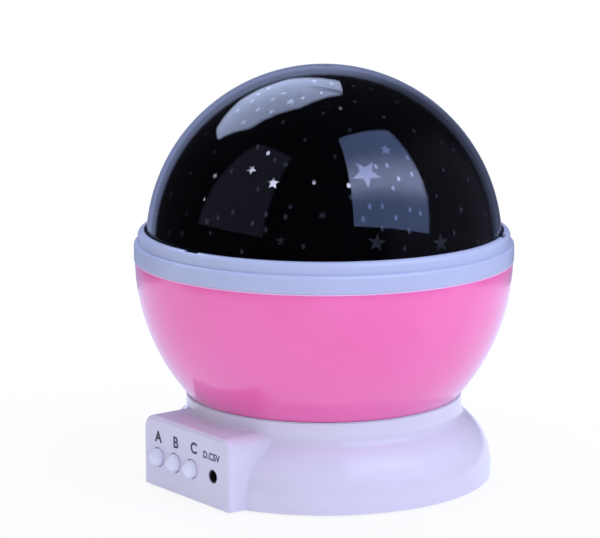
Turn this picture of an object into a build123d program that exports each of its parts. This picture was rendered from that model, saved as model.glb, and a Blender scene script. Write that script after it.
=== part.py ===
from build123d import *
import os
from math import acos, asin, cos, degrees, pi, radians, sin, sqrt, tan

# A table-top star projector night light. A printed dome sits on a bowl that a geared motor
# turns on a round base, and a lamp on a fixed post shines out through the dome's windows.
# Millimetres. Z is the axis that the bowl turns on, Z = 0 is the table, and the control
# panel with its buttons faces -Y.

# ---------------------------------------------------------------- driving dimensions
wall = 2.0  # moulded wall of the base and the bowl
running_gap = 0.08  # radial play between the post and the bowl's hub
thread_gap = 0.05  # radial play of a screw in its pilot hole

# Base: foot, rounded shoulder and neck
feet_height = 0.8  # how far the rubber feet lift the base
foot_radius = 59.4
foot_side_height = 3.2  # upright edge of the foot, below the shoulder
shoulder_radius = 21.0
neck_radius = 48.6
neck_fillet = 4.0
neck_top_z = 29.5
deck_thickness = 2.0
deck_z = 21.5  # underside of the deck that closes the base

# Console on the front of the base
console_proud = 0.8  # how far the panel stands in front of the foot
console_half_width = 25.0
console_height = 25.5
console_root = 0.8  # the console is buried as far as this share of the neck's radius
console_corner = 5.0
console_edge = 1.5
console_blend = 1.5
button_row_z = 11.5
button_pitch = 9.8
first_button_x = -16.2
button_radius = 3.15
button_proud = 2.9
button_gap = 0.25
button_flange = 0.8  # how far the flange stands out round the cap
button_flange_thickness = 1.0
button_travel = 0.6
button_crown = 2.6
jack_x = 15.7
jack_hole_radius = 2.4
jack_nose_gap = 0.1  # round the socket's nose in its hole
jack_nose_sink = 0.3  # how far the nose stays behind the panel's face

# Bowl: an elliptical section from the floor to the rim
bowl_gap = 0.5  # gap between the neck and the bowl
bowl_foot_step = 0.55  # the bowl's foot is this much smaller than the neck
bowl_height = 47.6
bowl_widest_above = 0.7  # the widest level lies this far above the bowl's edge
bowl_edge_fillet = 0.5
bowl_spline_spans = 6
hub_height = 10.0
hub_wall = 4.0
rib_length = 22.0
skirt_depth = 3.0
skirt_gap = 1.6  # between the bowl's skirt and the inside of the neck
skirt_wall = 1.5

# Rim: band, collar, ledge and bayonet
band_overhang = 0.3  # how far the band stands out from the bowl
band_height = 6.1
band_round = 1.1
band_lower_round = 0.3
collar_step = 1.4
collar_height = 4.2
collar_round = 1.9
collar_wall = 1.0  # outside the bayonet track
ledge_thickness = 1.8
ledge_reach = 5.25  # how far the ledge reaches in under the dome's edge
spigot_depth = 6.0
spigot_wall = 1.5
spigot_gap = 0.3
lug_thickness = 4.5  # height of the collar above the bayonet track
tab_count = 3
tab_azimuth = -82.5
tab_width = 5.2
tab_height = 2.0
tab_reach = 1.5
tab_side_gap = 0.5
track_gap = 0.35
tab_top_gap = 0.2

# Dome and its printed film
dome_radius = 62.25
dome_wall = 1.5
dome_seat_gap = 0.2
dome_centre_above_ledge = 1.75
dome_collar_gap = 0.65
film_thickness = 0.35
film_gap = 0.05
film_edge_elevation = 2.0
film_cut = 1.5
dot_half_width = 0.65
dot_half_height = 0.95
star_waist = 0.42  # inner radius of a star as a share of its outer radius
star_unit = 3.5  # tip-to-tip size of an ordinary star
# Stars of the printed sky: azimuth, elevation, size in star units, turn of the first tip
front_stars = (
    (-23.0, 31.9, 3.0, -90.0),
    (-12.8, 39.6, 1.4, 75.0),
    (-56.7, 28.5, 1.4, 90.0),
    (-66.3, 32.5, 1.2, 60.0),
    (-60.2, 60.1, 1.2, 100.0),
    (-87.0, 65.9, 0.9, 90.0),
    (-49.5, 73.0, 1.0, 70.0),
    (-12.2, 68.9, 0.9, 80.0),
    (1.3, 7.9, 2.0, 90.0),
    (-21.8, 9.9, 1.8, 80.0),
    (-79.5, 14.4, 0.9, 90.0),
    (-90.3, 9.3, 0.9, 110.0),
    (-81.3, 28.9, 0.9, 75.0),
    (23.0, 35.9, 0.9, 90.0),
    (12.9, 16.8, 1.0, 80.0),
    (-39.1, 18.7, 0.9, 60.0),
    (-52.1, 10.6, 1.0, 95.0),
)
# Dots that stand by themselves among the front stars
front_dots = (
    (-61.3, 38.5), (-57.7, 36.1), (-53.1, 34.8), (-82.9, 21.1), (-29.9, 28.2), (-29.2, 57.3),
    (-18.8, 34.1), (-14.3, 34.3), (-11.0, 29.5), (-13.9, 26.6), (-5.0, 30.5), (-4.4, 36.2),
    (-23.3, 21.3), (-18.9, 21.1), (-9.1, 19.4), (-5.4, 18.0), (-25.8, 17.4), (-14.6, 17.2),
    (-19.7, 14.0), (-10.4, 12.7), (-75.2, 16.1), (-62.1, 15.4), (-57.7, 18.6), (-51.1, 18.0),
    (-89.0, 62.1), (-87.7, 58.4), (-73.8, 60.6), (-69.2, 64.2), (-53.2, 62.3), (-40.4, 65.3),
    (-77.9, 55.1), (-68.5, 54.7), (-80.9, 49.1), (10.1, 57.9),
)
back_stars = (
    (159.8, 10.8, 2.0, -90.0),
    (168.6, 16.4, 1.6, 0.0),
    (163.2, 23.4, 1.2, 90.0),
    (187.6, 7.4, 1.4, 90.0),
    (132.7, 9.7, 1.4, 75.0),
    (134.1, 42.1, 1.4, 60.0),
    (103.2, 46.8, 1.4, 90.0),
    (141.0, 31.0, 3.0, -90.0),
    (180.0, 48.0, 1.2, 90.0),
    (121.0, 27.0, 1.2, 70.0),
    (143.0, 18.0, 0.9, 90.0),
    (200.0, 30.0, 1.0, 90.0),
    (112.0, 14.0, 0.9, 60.0),
    (140.0, 65.0, 1.0, 90.0),
    (212.0, 12.0, 0.9, 75.0),
)
# Stars that repeat half a turn further on
side_stars = (
    (38.0, 16.0, 1.6, 90.0),
    (52.0, 31.0, 1.2, 70.0),
    (66.0, 12.0, 1.0, 100.0),
    (45.0, 49.0, 0.9, 90.0),
)
# The rest of the dots lie on a spiral that spreads them evenly, from low on the film to its apex
spiral_dots = 150
spiral_turn = 180 * (3 - sqrt(5))
spiral_start = 20.0
spiral_low = 0.10  # height of the lowest dots as a share of the film's radius
dot_spacing = 1.6  # film left between a dot of the spiral and its neighbours

# Lamp post and lamp
post_radius = 6.0
post_bore = 4.0
post_flange_radius = 12.0
post_flange_thickness = 2.0
post_top_z = 71.0
clip_thickness = 0.8
clip_radius = 9.0
clip_groove = 0.6
clip_gap = 0.2
washer_thickness = 0.4
washer_radius = 11.0
seat_gap = 0.1
holder_radius = 11.5
holder_sleeve = 8.0
holder_floor = 2.0
holder_rim_height = 3.0
holder_rim = 0.9
led_board_thickness = 1.6
led_count = 4
led_circle = 4.6
led_radius = 2.5
led_height = 6.0
led_crown = 0.9  # round of a lamp's top as a share of its radius
lamp_cap_height = 12.0
lamp_cap_wall = 1.2
plate_thickness = 1.4
plate_dish = 4.0
plate_skirt = 3.0
plate_hole_gap = 1.5
plate_gap = 0.3
snap_reach = 0.7
holder_sleeve_wall = 2.0
holder_flare = 4.0
lamp_cap_crown = 8.0
post_screw_length = 3.8
post_screw_circle = 9.0
post_screw_count = 3

# Drive: the motor's pinion turns the gear under the bowl
gear_module = 0.8
addendum = 0.9  # tooth height above the pitch circle, in modules
dedendum = 1.2  # tooth depth below the pitch circle, in modules
tooth_sink = 0.7  # a tooth's outline starts at this share of the root radius
gear_teeth = 60
pinion_teeth = 15
backlash = 0.12
centre_play = 0.1
gear_thickness = 4.0
pinion_thickness = 3.4
pinion_rise = 0.2  # the pinion stands this far above the gear's underside
pressure_angle = 20.0
gear_web = 2.0  # thin disc between the toothed rim and the hub
gear_rim = 3.5
gear_screw_circle = 17.0
gear_screw_count = 3
shaft_radius = 1.5
motor_radius = 12.0
motor_height = 13.5
motor_can_radius = 10.0
motor_boss_radius = 3.5
motor_hole_gap = 0.2
motor_ear_reach = 16.0
motor_azimuth = 90.0
motor_gearbox_height = 7.0
motor_block = 6.0
motor_block_x = -7.0
motor_ear_thickness = 1.5
motor_ear_radius = 3.0
motor_boss_height = 1.5
shaft_depth = 6.0

# Underside: plate, battery bay and door
plate_recess = 0.4
base_plate_thickness = 2.0
base_plate_gap = 0.3
cell_length = 44.5
cell_diameter = 10.5
cell_count = 4
cell_play = 0.4
contact_room = 3.5
cell_head_room = 1.0
bay_board_room = 5.9  # from the control board to the middle of the door's front eye
bay_wall = 1.5
bay_roof = 1.5
door_ledge = 1.2
door_thickness = 1.5
door_gap = 0.3
door_lip = 1.2
door_lip_wall = 1.2
door_ear_radius = 4.0
door_ear_floor = 0.6
door_ear_reach = 2.5
door_boss_radius = 2.5
grip_count = 5
grip_pitch = 3.0
grip_length = 16.0
grip_width = 1.2
grip_depth = 0.5
cell_rib_depth = 1.5
cell_rib_width = 1.0
cell_rib_share = 0.8  # length of a rib as a share of a cell's length
contact_sheet = 0.4
contact_margin = 1.0
contact_height = 8.0
contact_reach = 2.4
contact_leaf_width = 5.0
contact_button_radius = 2.0
foot_pad_radius = 5.0
foot_pad_sink = 0.6
foot_pad_inset = 9.4  # how far the pads' circle lies inside the foot's edge
foot_pad_beside = 1.6  # between the pads and the frame of the battery bay
base_screw_inset = 2.6  # how far the screws' circle lies inside the neck
base_screw_azimuths = (25.0, 155.0, 205.0, 335.0)
base_boss_radius = 3.5
base_boss_gap_z = 5.0  # where the plate's bosses meet the shell's

# Electronics
board_thickness = 1.6
board_from_panel = 8.2  # room between the panel's inside and the board
board_half_width = 21.0
board_height = 17.0
board_centre_z = 13.0
board_screw_rise = 6.6
board_post_radius = 2.0
switch_size = 6.0
switch_depth = 3.5
switch_chamfer = 0.5
plunger_radius = 1.7
plunger_gap = 0.1
stem_depth = 1.9
jack_bore = 1.85
jack_pin_radius = 0.65
jack_width = 6.4
jack_depth = 7.0
jack_chamfer = 0.5
jack_pin_sink = 0.6
lead_radius = 1.1
lead_z = 18.75
lead_bend = 8.0
lead_inset = 3.0  # how far the side leads stand in from the board's ends

# Screws: head radius, head height, shank radius, length
base_screw = (2.6, 1.8, 1.25, 9.0)
small_screw = (1.9, 1.2, 0.9, 4.5)
# Shares of a screw head's radius: its flat top and the length and width of its cross
head_flat = 0.75
cross_length = 1.1
cross_width = 0.28


# ---------------------------------------------------------------- levels and radii
base_bottom_z = feet_height
shoulder_z = base_bottom_z + foot_side_height
deck_top_z = deck_z + deck_thickness
console_front = foot_radius + console_proud
base_screw_circle = neck_radius - base_screw_inset
bowl_bottom_z = neck_top_z + bowl_gap
bowl_floor_z = bowl_bottom_z + wall
bowl_top_z = bowl_bottom_z + bowl_height
band_top_z = bowl_top_z + band_height
collar_top_z = band_top_z + collar_height
collar_inner_radius = dome_radius + dome_collar_gap
track_top_z = collar_top_z - lug_thickness
ledge_z = track_top_z - tab_top_gap - tab_height - dome_seat_gap
dome_bottom_z = ledge_z + dome_seat_gap
dome_centre_z = ledge_z + dome_centre_above_ledge
dome_inner_radius = dome_radius - dome_wall
film_radius = dome_inner_radius - film_gap
tab_radius = dome_radius + tab_reach
track_radius = tab_radius + track_gap
collar_radius = track_radius + collar_wall
band_radius = collar_radius + collar_step
bowl_radius = band_radius - band_overhang
ledge_inner_radius = dome_radius - ledge_reach
bowl_foot_radius = neck_radius - bowl_foot_step
bowl_depth = (bowl_height + bowl_widest_above) / sqrt(1 - (bowl_foot_radius / bowl_radius) ** 2)
tab_azimuths = [tab_azimuth + n * 360 / tab_count for n in range(tab_count)]

flange_top_z = deck_top_z + post_flange_thickness
washer_top_z = flange_top_z + washer_thickness
gear_z = washer_top_z + seat_gap
hub_bore = post_radius + running_gap
hub_top_z = bowl_floor_z + hub_height
clip_z = hub_top_z + clip_gap
holder_floor_z = post_top_z
board_seat_z = holder_floor_z + holder_floor
holder_top_z = board_seat_z + holder_rim_height
lamp_top_z = holder_top_z + lamp_cap_height
led_foot_z = board_seat_z + led_board_thickness
lamp_cap_radius = holder_radius - holder_rim - seat_gap
skirt_radius = neck_radius - wall - skirt_gap
rib_circle = hub_bore + hub_wall + rib_length / 2 - wall / 2
plate_hole_radius = holder_radius + plate_hole_gap
plate_hole_z = ledge_z - plate_dish
plate_radius = dome_inner_radius - plate_gap - film_thickness - film_gap - plate_gap
plate_skirt_radius = ledge_inner_radius - plate_gap

gear_pitch = gear_module * gear_teeth / 2
pinion_pitch = gear_module * pinion_teeth / 2
drive_centre = gear_pitch + pinion_pitch + centre_play
drive_x = drive_centre * cos(radians(motor_azimuth))
drive_y = drive_centre * sin(radians(motor_azimuth))
pinion_z = gear_z + pinion_rise
motor_top_z = deck_z
motor_bottom_z = motor_top_z - motor_height
shaft_bottom_z = motor_top_z - shaft_depth

panel_inner = console_front - wall
board_face = panel_inner - board_from_panel

base_plate_z = base_bottom_z + plate_recess
base_plate_top_z = base_plate_z + base_plate_thickness
bay_half_length = cell_length / 2 + contact_room
bay_half_width = (cell_diameter + cell_play) * cell_count / 2
door_seat_z = base_plate_z + door_thickness
bay_ceiling_z = door_seat_z + cell_diameter + cell_head_room
bay_top_z = bay_ceiling_z + bay_roof
door_ear_offset = bay_half_width + door_ledge + door_ear_reach
bay_centre_y = -(board_face - board_thickness - bay_board_room - door_ear_offset)
bay_y0 = bay_centre_y - bay_half_width
bay_y1 = bay_centre_y + bay_half_width
recess_half_length = bay_half_length + door_ledge + door_gap
recess_half_width = bay_half_width + door_ledge + door_gap
foot_pad_x = recess_half_length + bay_wall + foot_pad_beside + foot_pad_radius
foot_pad_y = sqrt((foot_radius - foot_pad_inset) ** 2 - foot_pad_x**2)
foot_pads = [
    (foot_pad_x, foot_pad_y),
    (-foot_pad_x, foot_pad_y),
    (-foot_pad_x, -foot_pad_y),
    (foot_pad_x, -foot_pad_y),
]
door_ears = [(0, bay_centre_y + side * door_ear_offset) for side in (-1, 1)]
cell_pitch = cell_diameter + cell_play
cell_ys = [bay_y0 + cell_pitch * (n + 0.5) for n in range(cell_count)]
rib_ys = [bay_y0 + cell_pitch * n for n in range(1, cell_count)]
contact_centre_z = (door_seat_z + door_lip + bay_ceiling_z) / 2

stem_length = panel_inner - seat_gap / 2 - button_flange_thickness - board_face - switch_depth + stem_depth
button_xs = [first_button_x + n * button_pitch for n in range(3)]
board_screw_xs = (button_xs[0] + button_pitch / 2, (button_xs[2] + jack_x) / 2)
board_screw_z = button_row_z + board_screw_rise

# ---------------------------------------------------------------- shared shapes


def bowl_radius_at(z, inset):
    """Radius of the bowl's section at height z, inside its outer skin by inset."""
    above_widest = z - bowl_top_z - bowl_widest_above
    return (bowl_radius - inset) * sqrt(1 - (above_widest / (bowl_depth - inset)) ** 2)


def polar(radius, azimuths):
    """Points on a circle about the axis."""
    return [(radius * cos(radians(a)), radius * sin(radians(a))) for a in azimuths]


def base_section(inset):
    """Half section of the base, inside its outer skin by inset."""
    centre_r = foot_radius - shoulder_radius
    arc_r = shoulder_radius - inset
    neck_r = neck_radius - inset
    sweep_angle = degrees(acos((neck_r - centre_r) / arc_r))
    with BuildSketch(Plane.XZ) as section:
        with BuildLine():
            bottom = Line((0, base_bottom_z), (foot_radius - inset, base_bottom_z))
            side = Line(bottom @ 1, (foot_radius - inset, shoulder_z))
            shoulder = CenterArc((centre_r, shoulder_z), arc_r, 0, sweep_angle)
            neck = Line(shoulder @ 1, (neck_r, neck_top_z))
            Polyline(neck @ 1, (0, neck_top_z), bottom @ 0)
        make_face()
        corner = section.vertices().sort_by_distance(shoulder @ 1)[0]
        fillet(corner, neck_fillet + inset)
    return section.sketch


def console_section(inset):
    """Front outline of the console, inside its outer skin by inset."""
    half = console_half_width - inset
    height = console_height - inset
    with BuildSketch(Plane.XZ.offset(console_front - inset)) as section:
        with Locations((0, (height + base_bottom_z) / 2)):
            Rectangle(2 * half, height - base_bottom_z)
        fillet(section.vertices().group_by(Axis.Y)[-1], console_corner - inset)
    return section.sketch


def bowl_section(inset, bottom_z):
    """Half section of the bowl below its edge, inside its outer skin by inset."""
    span = (bowl_top_z - bottom_z) / bowl_spline_spans
    levels = [bottom_z + n * span for n in range(bowl_spline_spans + 1)]
    with BuildSketch(Plane.XZ) as section:
        with BuildLine():
            side = Spline([(bowl_radius_at(z, inset), z) for z in levels])
            Polyline(side @ 1, (0, bowl_top_z), (0, bottom_z), side @ 0)
        make_face()
    return section.sketch


def gear_section(teeth, z, phase):
    """Outline of a spur gear with involute flanks, at height z, one tooth at the phase angle."""
    pitch = gear_module * teeth / 2
    base = pitch * cos(radians(pressure_angle))
    tip = pitch + addendum * gear_module
    root = pitch - dedendum * gear_module
    half_tooth = pi / (2 * teeth) - backlash / (4 * pitch)

    def involute(r):
        angle = acos(min(1.0, base / r))
        return tan(angle) - angle

    def flank(r, side):
        turn = half_tooth + involute(pitch) - involute(max(r, base))
        return (r * cos(turn), side * r * sin(turn))

    start = max(root, base)
    middle = (start + tip) / 2
    with BuildSketch() as tooth:
        with BuildLine():
            right = ThreePointArc(flank(start, -1), flank(middle, -1), flank(tip, -1))
            left = ThreePointArc(flank(tip, 1), flank(middle, 1), flank(start, 1))
            Line(right @ 1, left @ 0)
            sunk = tooth_sink * root
            Polyline(left @ 1, (sunk, (left @ 1).Y), (sunk, (right @ 0).Y), right @ 0)
        make_face()
    with BuildSketch(Plane.XY.offset(z)) as outline:
        Circle(root)
        with PolarLocations(0, teeth, start_angle=phase):
            add(tooth.sketch)
    return outline.sketch


def screw(head_radius, head_height, shank_radius, length):
    """Cross-head screw. Its head hangs below Z = 0 and its shank points up."""
    with BuildPart() as blank:
        with BuildSketch(Plane.XZ):
            with BuildLine():
                Polyline(
                    (0, -head_height),
                    (head_radius * head_flat, -head_height),
                    (head_radius, -head_height / 2),
                    (head_radius, 0),
                    (shank_radius, 0),
                    (shank_radius, length - shank_radius),
                    (0, length),
                    close=True,
                )
            make_face()
        revolve(axis=Axis.Z)
        with BuildSketch(Plane.XY.offset(-head_height)):
            Rectangle(head_radius * cross_length, head_radius * cross_width)
            Rectangle(head_radius * cross_width, head_radius * cross_length)
        extrude(amount=head_height / 2, mode=Mode.SUBTRACT)
    return blank.part


def lead(points, bend):
    """Round cable along straight runs and tangent bends."""
    with BuildPart() as cable:
        with BuildLine() as route:
            if bend:
                FilletPolyline(*points, radius=bend)
            else:
                Polyline(*points)
        with BuildSketch(Plane(origin=route.line @ 0, z_dir=route.line % 0)):
            Circle(lead_radius)
        sweep(path=route.line)
    return cable


os.makedirs("parts", exist_ok=True)


def write(piece, name):
    """Labels a finished piece and writes it as one STEP file."""
    piece.part.label = name
    export_step(piece.part, f"parts/{name}.step")


# ---------------------------------------------------------------- base
# Deck across the neck, with its holes for the lead, the motor and their screws
with BuildPart() as deck:
    revolve(base_section(wall / 2), axis=Axis.Z)
    with BuildSketch(Plane.XY.offset(deck_z)):
        Circle(foot_radius)
        Circle(post_bore, mode=Mode.SUBTRACT)
        with Locations((drive_x, drive_y)):
            Circle(motor_boss_radius + motor_hole_gap, mode=Mode.SUBTRACT)
            with Locations((-motor_ear_reach, 0), (motor_ear_reach, 0)):
                Circle(small_screw[2] + thread_gap, mode=Mode.SUBTRACT)
        with PolarLocations(post_screw_circle, post_screw_count):
            Circle(small_screw[2] + thread_gap, mode=Mode.SUBTRACT)
    extrude(amount=deck_thickness, mode=Mode.INTERSECT)

with BuildPart() as base_shell:
    revolve(base_section(0), axis=Axis.Z)
    extrude(console_section(0), amount=-(console_front - neck_radius * console_root))
    panel_edges = base_shell.faces().sort_by(Axis.Y)[0].edges()
    fillet(panel_edges.sort_by(Axis.Z)[1:], console_edge)
    # Soft blend where the console meets the rounded base
    meeting_edges = base_shell.edges().filter_by(GeomType.BSPLINE)
    fillet(meeting_edges.filter_by(lambda edge: edge.center().Y > -foot_radius), console_blend)
    revolve(base_section(wall), axis=Axis.Z, mode=Mode.SUBTRACT)
    extrude(
        console_section(wall),
        amount=-(panel_inner - neck_radius * console_root),
        mode=Mode.SUBTRACT,
    )
    add(deck.part)
    # Bosses for the screws that hold the base plate
    with BuildSketch(Plane.XY.offset(base_boss_gap_z)):
        with Locations(*polar(base_screw_circle, base_screw_azimuths)):
            Circle(base_boss_radius)
    extrude(amount=deck_z - base_boss_gap_z)
    with BuildSketch(Plane.XY.offset(base_boss_gap_z)):
        with Locations(*polar(base_screw_circle, base_screw_azimuths)):
            Circle(base_screw[2] + thread_gap)
    extrude(amount=base_screw[3], mode=Mode.SUBTRACT)
    # Posts behind the panel that carry the control board
    with BuildSketch(Plane.XZ.offset(panel_inner)):
        with Locations(*[(x, board_screw_z) for x in board_screw_xs]):
            Circle(board_post_radius)
    extrude(amount=-board_from_panel)
    with BuildSketch(Plane.XZ.offset(board_face)):
        with Locations(*[(x, board_screw_z) for x in board_screw_xs]):
            Circle(small_screw[2] + thread_gap)
    extrude(amount=small_screw[3], mode=Mode.SUBTRACT)
    # Button holes and socket hole in the panel
    with BuildSketch(Plane.XZ.offset(console_front)):
        with Locations(*[(x, button_row_z) for x in button_xs]):
            Circle(button_radius + button_gap)
        with Locations((jack_x, button_row_z)):
            Circle(jack_hole_radius)
    extrude(amount=-wall, mode=Mode.SUBTRACT)
write(base_shell, "base_shell")

# Plate that closes the underside, with the battery bay moulded on it
with BuildPart() as base_plate:
    with BuildSketch(Plane.XY.offset(base_plate_z)):
        Circle(foot_radius - wall - base_plate_gap)
        with Locations((0, -(panel_inner - base_plate_gap) / 2)):
            Rectangle(
                2 * (console_half_width - wall - base_plate_gap),
                panel_inner - base_plate_gap,
            )
    extrude(amount=base_plate_thickness)
    # Frame round the door, with an eye for each door screw
    with BuildSketch(Plane.XY.offset(base_plate_z)):
        with Locations((0, bay_centre_y)):
            Rectangle(2 * (recess_half_length + bay_wall), 2 * (recess_half_width + bay_wall))
        with Locations(*door_ears):
            Circle(door_ear_radius + door_gap + bay_wall)
    extrude(amount=door_thickness + bay_wall)
    with BuildSketch(Plane.XY.offset(door_seat_z)):
        with Locations((0, bay_centre_y)):
            Rectangle(2 * (bay_half_length + bay_wall), 2 * (bay_half_width + bay_wall))
    extrude(amount=bay_top_z - door_seat_z)
    with BuildSketch(Plane.XY.offset(door_seat_z)):
        with Locations(*door_ears):
            Circle(door_boss_radius)
    extrude(amount=small_screw[3])
    # Pads that meet the shell's bosses
    with BuildSketch(Plane.XY.offset(base_plate_top_z)):
        with Locations(*polar(base_screw_circle, base_screw_azimuths)):
            Circle(base_boss_radius + bay_wall / 2)
    extrude(amount=base_boss_gap_z - base_plate_top_z)
    with BuildSketch(Plane.XY.offset(base_plate_z)):
        with Locations((0, bay_centre_y)):
            Rectangle(2 * recess_half_length, 2 * recess_half_width)
        with Locations(*door_ears):
            Circle(door_ear_radius + door_gap)
    extrude(amount=door_thickness, mode=Mode.SUBTRACT)
    with BuildSketch(Plane.XY.offset(door_seat_z)):
        with Locations((0, bay_centre_y)):
            Rectangle(2 * bay_half_length, 2 * bay_half_width)
    extrude(amount=bay_ceiling_z - door_seat_z, mode=Mode.SUBTRACT)
    # Ribs between the cells
    with BuildSketch(Plane.XY.offset(bay_ceiling_z - cell_rib_depth)):
        with Locations(*[(0, y) for y in rib_ys]):
            Rectangle(cell_length * cell_rib_share, cell_rib_width)
    extrude(amount=cell_rib_depth)
    # Screw holes and the seats of the rubber feet
    with BuildSketch(Plane.XY.offset(door_seat_z)):
        with Locations(*door_ears):
            Circle(small_screw[2] + thread_gap)
    extrude(amount=small_screw[3] - wall / 2, mode=Mode.SUBTRACT)
    with BuildSketch(Plane.XY.offset(base_plate_z)):
        with Locations(*polar(base_screw_circle, base_screw_azimuths)):
            Circle(base_screw[0] + base_plate_gap)
    extrude(amount=base_screw[1], mode=Mode.SUBTRACT)
    with BuildSketch(Plane.XY.offset(base_plate_z)):
        with Locations(*polar(base_screw_circle, base_screw_azimuths)):
            Circle(base_screw[2] + thread_gap)
    extrude(amount=base_boss_gap_z - base_plate_z, mode=Mode.SUBTRACT)
    with BuildSketch(Plane.XY.offset(base_plate_z)):
        with Locations(*foot_pads):
            Circle(foot_pad_radius + thread_gap)
    extrude(amount=foot_pad_sink, mode=Mode.SUBTRACT)
write(base_plate, "base_plate")

for number, (x, y) in enumerate(polar(base_screw_circle, base_screw_azimuths), start=1):
    fastener = screw(*base_screw)
    with BuildPart() as base_screw_piece:
        with Locations((x, y, base_plate_z + base_screw[1])):
            add(fastener)
    write(base_screw_piece, f"base_screw_{number}")

for number, (x, y) in enumerate(foot_pads, start=1):
    with BuildPart() as rubber_foot:
        with BuildSketch(Plane.XY):
            with Locations((x, y)):
                Circle(foot_pad_radius)
        extrude(amount=base_plate_z + foot_pad_sink)
        fillet(rubber_foot.edges().sort_by(Axis.Z)[0], foot_pad_sink)
    write(rubber_foot, f"rubber_foot_{number}")

# ---------------------------------------------------------------- battery door
with BuildPart() as battery_door:
    with BuildSketch(Plane.XY.offset(base_plate_z)):
        with Locations((0, bay_centre_y)):
            Rectangle(
                2 * (recess_half_length - door_gap),
                2 * (recess_half_width - door_gap),
            )
        with Locations(*door_ears):
            Circle(door_ear_radius)
    extrude(amount=door_thickness)
    # Lip that locates the door inside the bay
    with BuildSketch(Plane.XY.offset(door_seat_z)):
        with Locations((0, bay_centre_y)):
            Rectangle(2 * (bay_half_length - door_gap), 2 * (bay_half_width - door_gap))
            Rectangle(
                2 * (bay_half_length - door_gap - door_lip_wall),
                2 * (bay_half_width - door_gap - door_lip_wall),
                mode=Mode.SUBTRACT,
            )
    extrude(amount=door_lip)
    with BuildSketch(Plane.XY.offset(base_plate_z)):
        with Locations(*door_ears):
            Circle(small_screw[0] + door_gap)
    extrude(amount=door_thickness - door_ear_floor, mode=Mode.SUBTRACT)
    with BuildSketch(Plane.XY.offset(base_plate_z)):
        with Locations(*door_ears):
            Circle(small_screw[2] + thread_gap)
    extrude(amount=door_thickness, mode=Mode.SUBTRACT)
    # Grip ridges for the fingers
    with BuildSketch(Plane.XY.offset(base_plate_z)):
        with Locations((0, bay_centre_y)):
            with GridLocations(0, grip_pitch, 1, grip_count):
                SlotOverall(grip_length, grip_width)
    extrude(amount=grip_depth, mode=Mode.SUBTRACT)
write(battery_door, "battery_door")

for number, (x, y) in enumerate(door_ears, start=1):
    fastener = screw(*small_screw[:3], small_screw[3] - wall / 2)
    with BuildPart() as door_screw:
        with Locations((x, y, door_seat_z - door_ear_floor)):
            add(fastener)
    write(door_screw, f"door_screw_{number}")


# ---------------------------------------------------------------- battery contacts
def contact(side, y_from, y_to, spring_ys, button_ys):
    """Strip on an end wall of the bay with a leaf for each minus pole and a button for each plus."""
    wall_x = side * bay_half_length
    with BuildPart() as strip:
        with BuildSketch(Plane.YZ.offset(wall_x)):
            with Locations(((y_from + y_to) / 2, contact_centre_z)):
                Rectangle(y_to - y_from - contact_margin, contact_height)
        extrude(amount=-side * contact_sheet)
        for y in button_ys:
            with BuildSketch(Plane.YZ.offset(wall_x - side * contact_sheet)):
                with Locations((y, contact_centre_z)):
                    Circle(contact_button_radius)
            extrude(amount=-side * contact_sheet)
        for y in spring_ys:
            half = contact_height / 2
            reach = side * contact_reach
            thin = side * contact_sheet
            foot = wall_x - thin
            with BuildSketch(Plane.XZ.offset(-y)):
                Polygon(
                    (foot, contact_centre_z - half),
                    (foot - reach, contact_centre_z - contact_sheet),
                    (foot - reach, contact_centre_z + contact_sheet),
                    (foot, contact_centre_z + half),
                    align=None,
                )
                Polygon(
                    (foot, contact_centre_z - half + 2 * contact_sheet),
                    (foot - reach + thin, contact_centre_z - contact_sheet / 2),
                    (foot - reach + thin, contact_centre_z + contact_sheet / 2),
                    (foot, contact_centre_z + half - 2 * contact_sheet),
                    align=None,
                    mode=Mode.SUBTRACT,
                )
            extrude(amount=contact_leaf_width / 2, both=True)
    return strip


bridges = (
    contact(1, bay_y0, cell_ys[1] + cell_pitch / 2, (cell_ys[0],), (cell_ys[1],)),
    contact(1, cell_ys[2] - cell_pitch / 2, bay_y1, (cell_ys[2],), (cell_ys[3],)),
    contact(
        -1,
        cell_ys[1] - cell_pitch / 2,
        cell_ys[2] + cell_pitch / 2,
        (cell_ys[1],),
        (cell_ys[2],),
    ),
)
for number, strip in enumerate(bridges, start=1):
    write(strip, f"contact_bridge_{number}")
write(contact(-1, bay_y0, bay_y0 + cell_pitch, (), (cell_ys[0],)), "contact_plus")
write(contact(-1, bay_y1 - cell_pitch, bay_y1, (cell_ys[3],), ()), "contact_minus")

# ---------------------------------------------------------------- controls
with BuildPart() as control_board:
    with BuildSketch(Plane.XZ.offset(board_face)):
        with Locations((0, board_centre_z)):
            Rectangle(2 * board_half_width, board_height)
        with Locations(*[(x, board_screw_z) for x in board_screw_xs]):
            Circle(small_screw[2] + thread_gap, mode=Mode.SUBTRACT)
    extrude(amount=-board_thickness)
write(control_board, "control_board")

for number, x in enumerate(board_screw_xs, start=1):
    fastener = screw(*small_screw)
    with BuildPart() as board_screw:
        with Locations(Location((x, -board_face + board_thickness, board_screw_z), (90, 0, 0))):
            add(fastener)
    write(board_screw, f"board_screw_{number}")

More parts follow.
